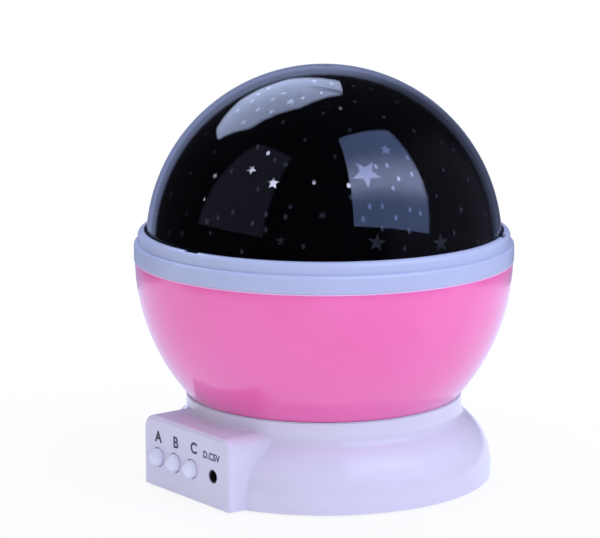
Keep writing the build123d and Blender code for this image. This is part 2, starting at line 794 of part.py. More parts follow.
for letter, x in zip("abc", button_xs):
    with BuildPart() as tact_switch:
        with BuildSketch(Plane.XZ.offset(board_face)):
            with Locations((x, button_row_z)):
                Rectangle(switch_size, switch_size)
        extrude(amount=switch_depth)
        chamfer(tact_switch.edges().filter_by(Axis.Y), switch_chamfer)
        with BuildSketch(Plane.XZ.offset(board_face + switch_depth)):
            with Locations((x, button_row_z)):
                Circle(plunger_radius + plunger_gap)
        extrude(amount=-(stem_depth + button_travel + plunger_gap), mode=Mode.SUBTRACT)
    write(tact_switch, f"tact_switch_{letter}")

    # Cap with a crowned face, a flange behind the panel and a stem in the switch
    with BuildPart() as button:
        with BuildSketch(Plane.XZ.offset(panel_inner - seat_gap / 2)):
            with Locations((x, button_row_z)):
                Circle(button_radius)
        extrude(amount=wall + button_proud + seat_gap / 2)
        face_edge = button.edges().sort_by(Axis.Y)[0]
        fillet(face_edge, button_crown)
        with BuildSketch(Plane.XZ.offset(panel_inner - seat_gap / 2)):
            with Locations((x, button_row_z)):
                Circle(button_radius + button_flange)
        extrude(amount=-button_flange_thickness)
        with BuildSketch(Plane.XZ.offset(panel_inner - seat_gap / 2 - button_flange_thickness)):
            with Locations((x, button_row_z)):
                Circle(plunger_radius)
        extrude(amount=-stem_length)
    write(button, f"button_{letter}")

with BuildPart() as dc_jack:
    with BuildSketch(Plane.XZ.offset(panel_inner)):
        with Locations((jack_x, button_row_z)):
            Rectangle(jack_width, jack_width)
    extrude(amount=-board_from_panel)
    chamfer(dc_jack.edges().filter_by(Axis.Y), jack_chamfer)
    # Round nose that fills the hole in the panel
    with BuildSketch(Plane.XZ.offset(panel_inner)):
        with Locations((jack_x, button_row_z)):
            Circle(jack_hole_radius - jack_nose_gap)
    extrude(amount=wall - jack_nose_sink)
    with BuildSketch(Plane.XZ.offset(console_front)):
        with Locations((jack_x, button_row_z)):
            Circle(jack_bore)
    extrude(amount=-(wall + jack_depth), mode=Mode.SUBTRACT)
write(dc_jack, "dc_jack")

with BuildPart() as dc_pin:
    with BuildSketch(Plane.XZ.offset(panel_inner - jack_depth)):
        with Locations((jack_x, button_row_z)):
            Circle(jack_pin_radius)
    extrude(amount=jack_depth - jack_pin_sink)
    fillet(dc_pin.edges().sort_by(Axis.Y)[0], jack_pin_radius / 2)
write(dc_pin, "dc_pin")

# ---------------------------------------------------------------- motor and its pinion
with BuildPart() as motor:
    with BuildSketch(Plane.XY.offset(motor_top_z - motor_gearbox_height)):
        with Locations((drive_x, drive_y)):
            Circle(motor_radius)
            with Locations((motor_block_x, -motor_radius)):
                Rectangle(motor_block, motor_block)
    extrude(amount=motor_gearbox_height)
    with BuildSketch(Plane.XY.offset(motor_bottom_z)):
        with Locations((drive_x, drive_y)):
            Circle(motor_can_radius)
    extrude(amount=motor_height - motor_gearbox_height)
    with BuildSketch(Plane.XY.offset(motor_top_z - motor_ear_thickness)):
        with Locations((drive_x, drive_y)):
            SlotCenterToCenter(2 * motor_ear_reach, 2 * motor_ear_radius)
    extrude(amount=motor_ear_thickness)
    with BuildSketch(Plane.XY.offset(motor_top_z)):
        with Locations((drive_x, drive_y)):
            Circle(motor_boss_radius)
    extrude(amount=deck_thickness + motor_boss_height)
    with BuildSketch(Plane.XY.offset(motor_top_z - motor_ear_thickness)):
        with Locations((drive_x, drive_y)):
            with Locations((-motor_ear_reach, 0), (motor_ear_reach, 0)):
                Circle(small_screw[2] + thread_gap)
    extrude(amount=motor_ear_thickness, mode=Mode.SUBTRACT)
    with BuildSketch(Plane.XY.offset(shaft_bottom_z - seat_gap)):
        with Locations((drive_x, drive_y)):
            Circle(shaft_radius + thread_gap)
    extrude(amount=pinion_z, mode=Mode.SUBTRACT)
write(motor, "motor")

for number, side in enumerate((-1, 1), start=1):
    fastener = screw(*small_screw)
    with BuildPart() as motor_screw:
        with Locations(Location((drive_x + side * motor_ear_reach, drive_y, deck_top_z), (180, 0, 0))):
            add(fastener)
    write(motor_screw, f"motor_screw_{number}")

with BuildPart() as motor_shaft:
    with BuildSketch(Plane.XY.offset(shaft_bottom_z)):
        with Locations((drive_x, drive_y)):
            Circle(shaft_radius)
    extrude(amount=pinion_z + pinion_thickness - shaft_bottom_z)
write(motor_shaft, "motor_shaft")

pinion_outline = gear_section(pinion_teeth, 0, motor_azimuth + 180 + 180 / pinion_teeth)
with BuildPart() as drive_pinion:
    with BuildSketch(Plane.XY.offset(pinion_z)):
        with Locations((drive_x, drive_y)):
            add(pinion_outline)
            Circle(shaft_radius + thread_gap / 2, mode=Mode.SUBTRACT)
    extrude(amount=pinion_thickness)
write(drive_pinion, "drive_pinion")

# ---------------------------------------------------------------- lamp post
with BuildPart() as lamp_post:
    with BuildSketch(Plane.XY.offset(deck_top_z)):
        Circle(post_flange_radius)
    extrude(amount=post_flange_thickness)
    with BuildSketch(Plane.XY.offset(deck_top_z)):
        Circle(post_radius)
    extrude(amount=post_top_z - deck_top_z)
    with BuildSketch(Plane.XY.offset(deck_top_z)):
        Circle(post_bore)
    extrude(amount=post_top_z - deck_top_z, mode=Mode.SUBTRACT)
    with BuildSketch(Plane.XY.offset(clip_z - thread_gap)):
        Circle(post_radius)
        Circle(post_radius - clip_groove, mode=Mode.SUBTRACT)
    extrude(amount=clip_thickness + 2 * thread_gap, mode=Mode.SUBTRACT)
    with BuildSketch(Plane.XY.offset(deck_top_z)):
        with PolarLocations(post_screw_circle, post_screw_count):
            Circle(small_screw[2] + thread_gap)
    extrude(amount=post_screw_length - deck_thickness, mode=Mode.SUBTRACT)
write(lamp_post, "lamp_post")

post_screw_azimuths = [n * 360 / post_screw_count for n in range(post_screw_count)]
for number, (x, y) in enumerate(polar(post_screw_circle, post_screw_azimuths), start=1):
    fastener = screw(*small_screw[:3], post_screw_length)
    with BuildPart() as post_screw:
        with Locations((x, y, deck_z)):
            add(fastener)
    write(post_screw, f"post_screw_{number}")

with BuildPart() as thrust_washer:
    with BuildSketch(Plane.XY.offset(flange_top_z)):
        Circle(washer_radius)
        Circle(hub_bore, mode=Mode.SUBTRACT)
    extrude(amount=washer_thickness)
write(thrust_washer, "thrust_washer")

# Open clip that snaps into the post's groove above the hub
with BuildPart() as retaining_clip:
    with BuildSketch(Plane.XY.offset(clip_z)):
        Circle(clip_radius)
        Circle(post_radius - clip_groove + thread_gap, mode=Mode.SUBTRACT)
        with Locations((0, clip_radius)):
            Rectangle(2 * (post_radius - clip_groove - thread_gap), 2 * clip_radius, mode=Mode.SUBTRACT)
    extrude(amount=clip_thickness)
write(retaining_clip, "retaining_clip")

with BuildPart() as lamp_holder:
    with BuildSketch(Plane.XZ):
        with BuildLine():
            Polyline(
                (post_radius + thread_gap, post_top_z - holder_sleeve),
                (post_radius + holder_sleeve_wall, post_top_z - holder_sleeve),
                (post_radius + holder_sleeve_wall, holder_floor_z - holder_flare),
                (holder_radius, holder_floor_z),
                (holder_radius, holder_top_z),
                (holder_radius - holder_rim, holder_top_z),
                (holder_radius - holder_rim, board_seat_z),
                (post_bore, board_seat_z),
                (post_bore, holder_floor_z),
                (post_radius + thread_gap, holder_floor_z),
                close=True,
            )
        make_face()
    revolve(axis=Axis.Z)
write(lamp_holder, "lamp_holder")

with BuildPart() as led_board:
    with BuildSketch(Plane.XY.offset(board_seat_z)):
        Circle(lamp_cap_radius)
    extrude(amount=led_board_thickness)
write(led_board, "led_board")

led_azimuths = [45 + n * 360 / led_count for n in range(led_count)]
for number, (x, y) in enumerate(polar(led_circle, led_azimuths), start=1):
    with BuildPart() as led:
        with BuildSketch(Plane.XY.offset(led_foot_z)):
            with Locations((x, y)):
                Circle(led_radius)
        extrude(amount=led_height)
        fillet(led.edges().sort_by(Axis.Z)[-1], led_radius * led_crown)
    write(led, f"led_{number}")


def cap_section(inset):
    """Half section of the clear cap over the lamp, inside its outer skin by inset."""
    radius = lamp_cap_radius - inset
    top_z = lamp_top_z - inset
    with BuildSketch(Plane.XZ) as section:
        with Locations((radius / 2, (led_foot_z + top_z) / 2)):
            Rectangle(radius, top_z - led_foot_z)
        shoulder = section.vertices().group_by(Axis.Y)[-1].sort_by(Axis.X)[-1]
        fillet(shoulder, lamp_cap_crown - inset)
    return section.sketch


with BuildPart() as lamp_cap:
    revolve(cap_section(0), axis=Axis.Z)
    revolve(cap_section(lamp_cap_wall), axis=Axis.Z, mode=Mode.SUBTRACT)
write(lamp_cap, "lamp_cap")

# ---------------------------------------------------------------- leads inside the base
lamp_route = (
    (0, -board_face + board_thickness, lead_z),
    (0, 0, lead_z),
    (0, 0, board_seat_z),
)
motor_route = (
    (-board_half_width + lead_inset, -board_face + board_thickness, lead_z),
    (-board_half_width + lead_inset, bay_centre_y - lead_bend, lead_z),
    (drive_x + motor_block_x, bay_centre_y + 2 * lead_bend, lead_z),
    (drive_x + motor_block_x, drive_y - motor_radius - motor_block / 2, lead_z),
)
battery_route = (
    (board_half_width - lead_inset, bay_y0 - bay_wall, button_row_z),
    (board_half_width - lead_inset, -board_face + board_thickness, button_row_z),
)
write(lead(lamp_route, lead_bend), "lamp_lead")
write(lead(motor_route, 2 * lead_bend), "motor_lead")
write(lead(battery_route, 0), "battery_lead")

# ---------------------------------------------------------------- bowl
with BuildPart() as bowl_shell:
    revolve(bowl_section(0, bowl_bottom_z), axis=Axis.Z)
    fillet(bowl_shell.edges().sort_by(Axis.Z)[0], bowl_edge_fillet)
    revolve(bowl_section(wall, bowl_floor_z), axis=Axis.Z, mode=Mode.SUBTRACT)
    with BuildSketch(Plane.XY.offset(bowl_floor_z)):
        Circle(hub_bore + hub_wall)
        with PolarLocations(gear_screw_circle, gear_screw_count):
            Circle(small_screw[0])
    extrude(amount=small_screw[3] - gear_web)
    with BuildSketch(Plane.XY.offset(bowl_floor_z)):
        Circle(hub_bore + hub_wall)
    extrude(amount=hub_height)
    # Ribs that brace the hub against the floor
    with BuildSketch(Plane.XY.offset(bowl_floor_z)):
        with PolarLocations(rib_circle, gear_screw_count, start_angle=180 / gear_screw_count):
            Rectangle(rib_length, wall)
    extrude(amount=hub_height / 2)
    with BuildSketch(Plane.XY.offset(bowl_bottom_z)):
        Circle(skirt_radius)
        Circle(skirt_radius - skirt_wall, mode=Mode.SUBTRACT)
    extrude(amount=-skirt_depth)
    with BuildSketch(Plane.XY.offset(bowl_bottom_z)):
        Circle(hub_bore)
    extrude(amount=hub_top_z - bowl_bottom_z, mode=Mode.SUBTRACT)
    with BuildSketch(Plane.XY.offset(bowl_bottom_z)):
        with PolarLocations(gear_screw_circle, gear_screw_count):
            Circle(small_screw[2] + thread_gap)
    extrude(amount=small_screw[3] - gear_web + thread_gap, mode=Mode.SUBTRACT)
write(bowl_shell, "bowl_shell")

gear_outline = gear_section(gear_teeth, 0, motor_azimuth)
with BuildPart() as turntable_gear:
    with BuildSketch(Plane.XY.offset(gear_z)):
        add(gear_outline)
    extrude(amount=gear_thickness)
    # Recess that leaves a web under the bowl between the toothed rim and the hub
    with BuildSketch(Plane.XY.offset(gear_z)):
        Circle(gear_pitch - gear_rim)
        Circle(post_flange_radius, mode=Mode.SUBTRACT)
    extrude(amount=gear_thickness - gear_web, mode=Mode.SUBTRACT)
    with BuildSketch(Plane.XY.offset(gear_z)):
        Circle(hub_bore)
        with PolarLocations(gear_screw_circle, gear_screw_count):
            Circle(small_screw[2] + thread_gap)
    extrude(amount=gear_thickness, mode=Mode.SUBTRACT)
write(turntable_gear, "turntable_gear")

gear_screw_azimuths = [n * 360 / gear_screw_count for n in range(gear_screw_count)]
for number, (x, y) in enumerate(polar(gear_screw_circle, gear_screw_azimuths), start=1):
    fastener = screw(*small_screw)
    with BuildPart() as gear_screw:
        with Locations((x, y, gear_z + gear_thickness - gear_web)):
            add(fastener)
    write(gear_screw, f"gear_screw_{number}")

# Rim: a rounded band, a lower collar round the dome, the ledge it stands on and its bayonet track
spigot_radius = bowl_radius_at(bowl_top_z - spigot_depth, wall) - spigot_gap
with BuildPart() as bowl_rim:
    with BuildSketch(Plane.XZ):
        with BuildLine():
            Polyline(
                (spigot_radius - spigot_wall, bowl_top_z - spigot_depth),
                (spigot_radius, bowl_top_z - spigot_depth),
                (spigot_radius, bowl_top_z),
                (band_radius, bowl_top_z),
                (band_radius, band_top_z),
                (collar_radius, band_top_z),
                (collar_radius, collar_top_z),
                (collar_inner_radius, collar_top_z),
                (collar_inner_radius, track_top_z),
                (track_radius, track_top_z),
                (track_radius, ledge_z),
                (ledge_inner_radius, ledge_z),
                (ledge_inner_radius, ledge_z - ledge_thickness),
                (spigot_radius - spigot_wall, ledge_z - ledge_thickness),
                close=True,
            )
        make_face()
    revolve(axis=Axis.Z)
    band_edges = bowl_rim.edges().filter_by(GeomType.CIRCLE).group_by(SortBy.RADIUS)[-1]
    fillet(band_edges.sort_by(Axis.Z)[-1], band_round)
    band_edges = bowl_rim.edges().filter_by(GeomType.CIRCLE).group_by(SortBy.RADIUS)[-1]
    fillet(band_edges.sort_by(Axis.Z)[0], band_lower_round)
    top_edges = bowl_rim.edges().filter_by(GeomType.CIRCLE).group_by(Axis.Z)[-1]
    fillet(top_edges.sort_by(SortBy.RADIUS)[-1], collar_round)
    for azimuth in tab_azimuths:
        entry = Plane.XY.rotated((0, 0, azimuth)).offset(track_top_z)
        with BuildSketch(entry):
            with Locations((track_radius / 2, 0)):
                Rectangle(track_radius, tab_width + 2 * tab_side_gap)
            Circle(collar_inner_radius - tab_side_gap, mode=Mode.SUBTRACT)
    extrude(amount=lug_thickness, mode=Mode.SUBTRACT)
write(bowl_rim, "bowl_rim")

# Shallow reflector that snaps into the ledge, round the lamp
with BuildPart() as inner_plate:
    with BuildSketch(Plane.XZ):
        with BuildLine():
            Polyline(
                (plate_hole_radius, plate_hole_z),
                (plate_skirt_radius - plate_thickness, ledge_z - plate_thickness / 2),
                (plate_skirt_radius - plate_thickness, ledge_z - plate_skirt),
                (plate_skirt_radius, ledge_z - plate_skirt),
                (plate_skirt_radius, ledge_z),
                (plate_radius, ledge_z),
                (plate_radius, ledge_z + plate_thickness),
                (plate_skirt_radius - plate_thickness, ledge_z + plate_thickness),
                (plate_hole_radius, plate_hole_z + plate_thickness),
                close=True,
            )
        make_face()
    revolve(axis=Axis.Z)
    for azimuth in tab_azimuths:
        with BuildSketch(Plane.XY.rotated((0, 0, azimuth)).offset(ledge_z - plate_skirt)):
            with Locations((plate_skirt_radius, 0)):
                Rectangle(2 * snap_reach, tab_width)
    extrude(amount=plate_skirt - ledge_thickness - thread_gap)
write(inner_plate, "inner_plate")

# ---------------------------------------------------------------- dome
with BuildPart() as dome_cover:
    with BuildSketch(Plane.XZ):
        with BuildLine():
            inner_side = Line((dome_inner_radius, dome_bottom_z), (dome_inner_radius, dome_centre_z))
            inner_arc = CenterArc((0, dome_centre_z), dome_inner_radius, 0, 90)
            Line(inner_arc @ 1, (0, dome_centre_z + dome_radius))
            CenterArc((0, dome_centre_z), dome_radius, 0, 90)
            outer_side = Line((dome_radius, dome_centre_z), (dome_radius, dome_bottom_z))
            Line(outer_side @ 1, inner_side @ 0)
        make_face()
    revolve(axis=Axis.Z)
    for azimuth in tab_azimuths:
        with BuildSketch(Plane.XY.rotated((0, 0, azimuth)).offset(dome_bottom_z)):
            with Locations((tab_radius / 2, 0)):
                Rectangle(tab_radius, tab_width)
            Circle(tab_radius, mode=Mode.INTERSECT)
            Circle(dome_radius - dome_wall / 2, mode=Mode.SUBTRACT)
    extrude(amount=tab_height)
write(dome_cover, "dome_cover")


def sky_plane(azimuth, elevation):
    """Plane that touches the film at a point of the printed sky, with its Y axis to the apex."""
    level = radians(azimuth)
    climb = radians(elevation)
    outward = Vector(cos(climb) * cos(level), cos(climb) * sin(level), sin(climb))
    centre = Vector(0, 0, dome_centre_z)
    return Plane(centre + outward * film_radius, x_dir=(-sin(level), cos(level), 0), z_dir=outward)


def is_free(azimuth, elevation, printed):
    """Whether a dot fits here, clear of the printed places and their reach in all directions."""
    spot = sky_plane(azimuth, elevation).origin
    room = dot_half_height + dot_spacing
    return all((spot - other).length > reach + room for other, reach in printed)


def star_outline(size, turn):
    """Corners of a five-pointed star, tips and waists by turns."""
    corners = []
    for n in range(10):
        reach = size / 2 * (star_waist if n % 2 else 1)
        angle = radians(turn + 36 * n)
        corners.append((reach * cos(angle), reach * sin(angle)))
    return corners


stars = front_stars + back_stars + side_stars
stars += tuple((azimuth + 180, *rest) for azimuth, *rest in side_stars)
printed = [(sky_plane(place[0], place[1]).origin, place[2] * star_unit / 2) for place in stars]
printed += [(sky_plane(*place).origin, dot_half_height) for place in front_dots]
dots = list(front_dots)
for n in range(spiral_dots):
    azimuth = spiral_start + n * spiral_turn
    elevation = degrees(asin(spiral_low + (1 - spiral_low) * n / spiral_dots))
    if is_free(azimuth, elevation, printed):
        dots.append((azimuth, elevation))

# Printed film inside the dome: opaque, with a clear window for every star and dot
with BuildPart() as star_mask:
    with BuildSketch(Plane.XZ):
        with BuildLine():
            outer = CenterArc((0, dome_centre_z), film_radius, film_edge_elevation, 90 - film_edge_elevation)
            inner = CenterArc(
                (0, dome_centre_z),
                film_radius - film_thickness,
                film_edge_elevation,
                90 - film_edge_elevation,
            )
            Line(outer @ 0, inner @ 0)
            Line(outer @ 1, inner @ 1)
        make_face()
    revolve(axis=Axis.Z)
    for azimuth, elevation, size, turn in stars:
        with BuildSketch(sky_plane(azimuth, elevation)):
            Polygon(*star_outline(size * star_unit, turn), align=None)
    for azimuth, elevation in dots:
        with BuildSketch(sky_plane(azimuth, elevation)):
            Ellipse(dot_half_height, dot_half_width, rotation=90)
    extrude(amount=film_cut, both=True, mode=Mode.SUBTRACT)
write(star_mask, "star_mask")
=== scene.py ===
import bmesh
import bpy
from math import cos, pi, radians, sin
from mathutils import Matrix, Vector


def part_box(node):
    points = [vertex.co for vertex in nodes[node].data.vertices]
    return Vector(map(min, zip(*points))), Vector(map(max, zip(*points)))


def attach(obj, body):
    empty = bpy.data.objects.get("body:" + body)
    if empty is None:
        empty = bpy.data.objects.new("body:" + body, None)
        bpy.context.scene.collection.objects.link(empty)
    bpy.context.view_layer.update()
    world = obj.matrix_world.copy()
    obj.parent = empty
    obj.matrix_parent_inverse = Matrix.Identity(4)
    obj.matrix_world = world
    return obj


# A table-top star projector night light, dressed from the room it stands in to its printed
# dome. Metres. Z is the axis that the bowl turns on, Z = 0 is the table, and the control
# panel with its buttons faces -Y.

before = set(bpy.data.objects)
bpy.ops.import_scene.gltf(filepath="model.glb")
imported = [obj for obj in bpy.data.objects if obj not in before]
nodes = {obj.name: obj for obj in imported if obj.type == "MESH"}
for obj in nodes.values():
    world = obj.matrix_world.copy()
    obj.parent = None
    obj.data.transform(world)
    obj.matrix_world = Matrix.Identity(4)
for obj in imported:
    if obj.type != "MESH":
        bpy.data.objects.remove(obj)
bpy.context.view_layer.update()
scene = bpy.context.scene
mm = 0.001

# ---------------------------------------------------------------- camera
# A long lens, 0.9 m from the lamp and a little over dome height, off the right-hand corner of
# the control panel.
eye = Vector((0.69776, -0.55576, 0.24997))
aim = Vector((-0.00515, -0.00660, 0.07305))
sight = (aim - eye).normalized()
to_right = sight.cross(Vector((0, 0, 1))).normalized()

lens = bpy.data.cameras.new("camera")
lens.sensor_width = 36.0
lens.lens = 155.41
camera = bpy.data.objects.new("camera", lens)
camera.location = eye
camera.rotation_euler = sight.to_track_quat("-Z", "Y").to_euler()
scene.collection.objects.link(camera)
scene.camera = camera
scene.view_settings.view_transform = "Standard"


# ---------------------------------------------------------------- room
# A white sweep behind the lamp and a darker room in front of it, with a window on each side
# and a skylight. The glossy parts mirror these, and the air of the room lights them softly.
class Value:
    """A number that varies over a surface: an output socket in the tree of a finish."""

    def __init__(self, finish, socket):
        self.finish = finish
        self.socket = socket

    def _math(self, operation, first, second):
        return self.finish.node("ShaderNodeMath", {"operation": operation}, {0: first, 1: second})

    def __add__(self, other):
        return self._math("ADD", self, other)

    def __radd__(self, other):
        return self._math("ADD", other, self)

    def __sub__(self, other):
        return self._math("SUBTRACT", self, other)

    def __rsub__(self, other):
        return self._math("SUBTRACT", other, self)

    def __mul__(self, other):
        return self._math("MULTIPLY", self, other)

    def __rmul__(self, other):
        return self._math("MULTIPLY", other, self)

    def eased(self, low, high):
        """0 up to low, 1 from high on, and a smooth rise between them."""
        return self.finish.node(
            "ShaderNodeMapRange",
            {"interpolation_type": "SMOOTHSTEP"},
            {"Value": self, "From Min": low, "From Max": high},
        )


class Finish:
    """The shader tree of one material, of one light or of the room."""

    def __init__(self, owner):
        owner.use_nodes = True
        self.owner = owner
        self.tree = owner.node_tree
        self.tree.nodes.clear()

    def node(self, kind, settings=None, inputs=None, output=0):
        """Adds a node, sets it up, fills or links its sockets and returns one of its outputs."""
        made = self.tree.nodes.new(kind)
        for name, value in (settings or {}).items():
            setattr(made, name, value)
        for key, value in (inputs or {}).items():
            socket = self._find(made.inputs, key)
            if isinstance(value, Value):
                self.tree.links.new(value.socket, socket)
            else:
                socket.default_value = value
        return Value(self, self._find(made.outputs, output)) if made.outputs else None

    def _find(self, sockets, key):
        if isinstance(key, int):
            return sockets[key]
        return next(s for s in sockets if key in (s.identifier, s.name))

    def between(self, share, first, second):
        """The colour that lies at a share of the way from the first to the second."""
        colours = {"A_Color": first, "B_Color": second}
        colours = {k: v if isinstance(v, Value) else (*v, 1) for k, v in colours.items()}
        return self.node(
            "ShaderNodeMix",
            {"data_type": "RGBA"},
            {"Factor_Float": share, **colours},
            "Result_Color",
        )

    def noise(self, place, scale, detail):
        """Random waves from 0 to 1, so many to the metre."""
        waves = {"Vector": place, "Scale": scale, "Detail": detail}
        return self.node("ShaderNodeTexNoise", {}, waves)

    def bump(self, height, strength, distance):
        """Relief for the Normal socket of a surface."""
        relief = {"Strength": strength, "Distance": distance, "Height": height}
        return self.node("ShaderNodeBump", {}, relief)

    def surfaced(self, sockets):
        """Ends a material in one Principled surface and gives the material back."""
        surface = self.node("ShaderNodeBsdfPrincipled", {}, sockets)
        self.node("ShaderNodeOutputMaterial", {}, {"Surface": surface})
        return self.owner


sweep_white = (1.0, 1.0, 1.0)
sweep_glare = (1.6, 1.6, 1.7)  # the sweep right behind the lamp, as its clear parts show it
sweep_haze = (0.21, 0.25, 0.43)  # the sweep further out, as the glossy parts mirror it
side_haze = (0.065, 0.077, 0.135)  # its right-hand end, away from the windows
high_haze = (0.30, 0.35, 0.58)  # its top, under the ceiling
table_haze = (0.95, 1.04, 1.30)  # the table, as the glossy parts mirror it
room_dark = (0.010, 0.010, 0.014)  # the room behind the camera
corner_dark = (0.045, 0.045, 0.065)  # and its right-hand corner
air_near = (0.84, 0.87, 0.90)  # light from the camera's side of the room
air_far = (0.66, 0.68, 0.66)  # and from behind the lamp
air_shade = (0.36, 0.37, 0.39)  # from the left, where a wall stands close
air_window = (0.92, 0.95, 0.85)  # and from the right, where the window is
floor_light = (0.96, 0.96, 0.95)

room = Finish(bpy.data.worlds.new("room"))
scene.world = room.owner
ray = {
    name: room.node("ShaderNodeLightPath", output=f"Is {name} Ray")
    for name in ("Camera", "Glossy", "Transmission")
}
faces_crossed = room.node("ShaderNodeLightPath", output="Transmission Depth")
heading = room.node("ShaderNodeTexCoord", output="Generated")


def along(direction):
    """How much of a ray's heading, from -1 to 1, lies along a direction."""
    both = {0: heading, 1: direction}
    return room.node("ShaderNodeVectorMath", {"operation": "DOT_PRODUCT"}, both, "Value")


ahead = along(sight)
sideways = along(to_right)
climb = along((0, 0, 1))

# What the glossy parts mirror: the sweep where a ray goes on away from the camera, the dark
# room where it turns back, and the table where it dips.
sweep = room.between(climb.eased(0.15, 0.50), sweep_haze, high_haze)
sweep = room.between(sideways.eased(0.0, 0.32), sweep, side_haze)
near_room = room.between(sideways.eased(0.55, 0.80), room_dark, corner_dark)
around = room.between((ahead + 0.08 * climb).eased(0.75, 0.79), near_room, sweep)
around = room.between(1 - climb.eased(-0.27, -0.22), around, table_haze)

# A window in the film shows the sweep where a ray passes through both walls of the dome, which
# is five faces or more, and hardly bends.
right_through = ray["Transmission"] * faces_crossed.eased(4.2, 4.8)
through = room.between(right_through * ahead.eased(0.975, 0.99), around, sweep_glare)

# The soft light of the room.
to_left_wall = 1 - sideways.eased(-0.8, -0.2)
air = room.between(ahead.eased(-0.7, 0.7), air_near, air_far)
air = room.between(ahead.eased(-0.7, 0.2) * to_left_wall, air, air_shade)
air = room.between(sideways.eased(0.15, 0.75), air, air_window)
air = room.between(climb.eased(-0.4, 0.2), floor_light, air)

mirrored = room.between(ray["Glossy"] + ray["Transmission"], air, through)
shown = room.between(ray["Camera"], mirrored, sweep_white)
background = room.node("ShaderNodeBackground", {}, {"Color": shown, "Strength": 1.0})
room.node("ShaderNodeOutputWorld", {}, {"Surface": background})

# Table top covered in white paper. It glows to the camera as the sweep does, keeps the lamp's
# shadow, and is clear from below.
table_half = 0.30
glow_least = 0.20  # share of the glow, beside the matt paper, in any ray
glow_seen = 0.66  # and more of it in a ray from the camera
glow_mirrored = 0.80  # or from a glossy part
table_mesh = bpy.data.meshes.new("table")
table_mesh.from_pydata(
    [(x * table_half, y * table_half, 0) for x, y in ((-1, -1), (1, -1), (1, 1), (-1, 1))],
    [],
    [(0, 1, 2, 3)],
)
table = bpy.data.objects.new("table", table_mesh)
scene.collection.objects.link(table)
paper = Finish(bpy.data.materials.new("white_paper"))
seen = paper.node("ShaderNodeLightPath", output="Is Camera Ray")
seen = seen + paper.node("ShaderNodeLightPath", output="Is Transmission Ray")
mirror = paper.node("ShaderNodeLightPath", output="Is Glossy Ray")
fibre = paper.node("ShaderNodeTexNoise", {}, {"Scale": 400.0, "Detail": 2.0})
tone = paper.between(fibre, (0.88, 0.88, 0.88), (0.92, 0.92, 0.92))
matt = paper.node("ShaderNodeBsdfDiffuse", {}, {"Color": tone})
glow = paper.between(mirror, sweep_white, table_haze)
lit = paper.node("ShaderNodeEmission", {}, {"Color": glow, "Strength": 1.0})
share = glow_least + seen * glow_seen + mirror * glow_mirrored
top_face = paper.node("ShaderNodeMixShader", {}, {0: share, 1: matt, 2: lit})
from_below = paper.node("ShaderNodeNewGeometry", output="Backfacing")
clear_face = paper.node("ShaderNodeBsdfTransparent")
sheet = paper.node("ShaderNodeMixShader", {}, {0: from_below, 1: top_face, 2: clear_face})
paper.node("ShaderNodeOutputMaterial", {}, {"Surface": sheet})
table_mesh.materials.append(paper.owner)


def soft_light(name, centre, across, up, radiance, colour=(1.0, 1.0, 1.0)):
    """Flat rectangular light that faces the lamp on the table."""
    centre = Vector(centre)
    x_axis = Vector(across).normalized()
    y_axis = (Vector(up) - Vector(up).project(x_axis)).normalized()
    z_axis = x_axis.cross(y_axis)
    if z_axis.dot(centre) < 0:
        x_axis = -x_axis
        z_axis = -z_axis
    light = bpy.data.lights.new(name, "AREA")
    light.shape = "RECTANGLE"
    light.size = Vector(across).length
    light.size_y = Vector(up).length
    light.energy = radiance * pi * light.size * light.size_y
    light.color = colour
    panel = bpy.data.objects.new(name, light)
    turn = Matrix((x_axis, y_axis, z_axis)).transposed().to_4x4()
    panel.matrix_world = Matrix.Translation(centre) @ turn
    scene.collection.objects.link(panel)
    return light


def pane(light, colour_of):
    """Gives a light a colour that varies over its pane, worked out from its own two shares."""
    glass = Finish(light)
    place = glass.node("ShaderNodeNewGeometry", output="Parametric")
    share_x = glass.node("ShaderNodeSeparateXYZ", {}, {0: place}, "X")
    share_y = glass.node("ShaderNodeSeparateXYZ", {}, {0: place}, "Y")
    colour = colour_of(glass, share_x, share_y)
    shine = glass.node("ShaderNodeEmission", {}, {"Color": colour, "Strength": 1.0})
    glass.node("ShaderNodeOutputLight", {}, {"Surface": shine})


window_sky = (0.52, 0.74, 1.50)
window_cloud = (2.0, 2.25, 3.7)


def window_colour(glass, share_x, share_y):
    """Blue sky above and below a bright band, where the clouds stand over the roofs."""
    band = share_y.eased(0.10, 0.33) * (1 - share_y.eased(0.33, 0.78))
    return glass.between(band * band, window_sky, window_cloud)


right_window = soft_light(
    "right_window",
    centre=(0.48, 0.178, 0.761),
    across=(-0.035, 0.629, -0.148),
    up=(-0.385, 0.135, 1.007),
    radiance=1.0,
)
pane(right_window, window_colour)

# The skylight's opening, and the thin bar that stands in it, as points on the ceiling.
ceiling_z = 0.61
sky_corners = (
    (-0.651, -0.258),
    (-0.323, -0.195),
    (-0.157, 0.001),
    (-0.160, 0.222),
    (-0.347, 0.353),
    (-0.620, 0.320),
    (-0.792, 0.139),
    (-0.771, -0.138),
)
bar_foot = (-0.345, 0.168)
bar_ends = ((-0.155, 0.222), (-0.155, 0.252))
sky_even = (1.57, 1.84, 2.75)
sky_edge = 0.0005  # softness of the opening's edges
sky_low = [min(corner[axis] for corner in sky_corners) for axis in (0, 1)]
sky_high = [max(corner[axis] for corner in sky_corners) for axis in (0, 1)]
sky_size = [high - low for low, high in zip(sky_low, sky_high)]


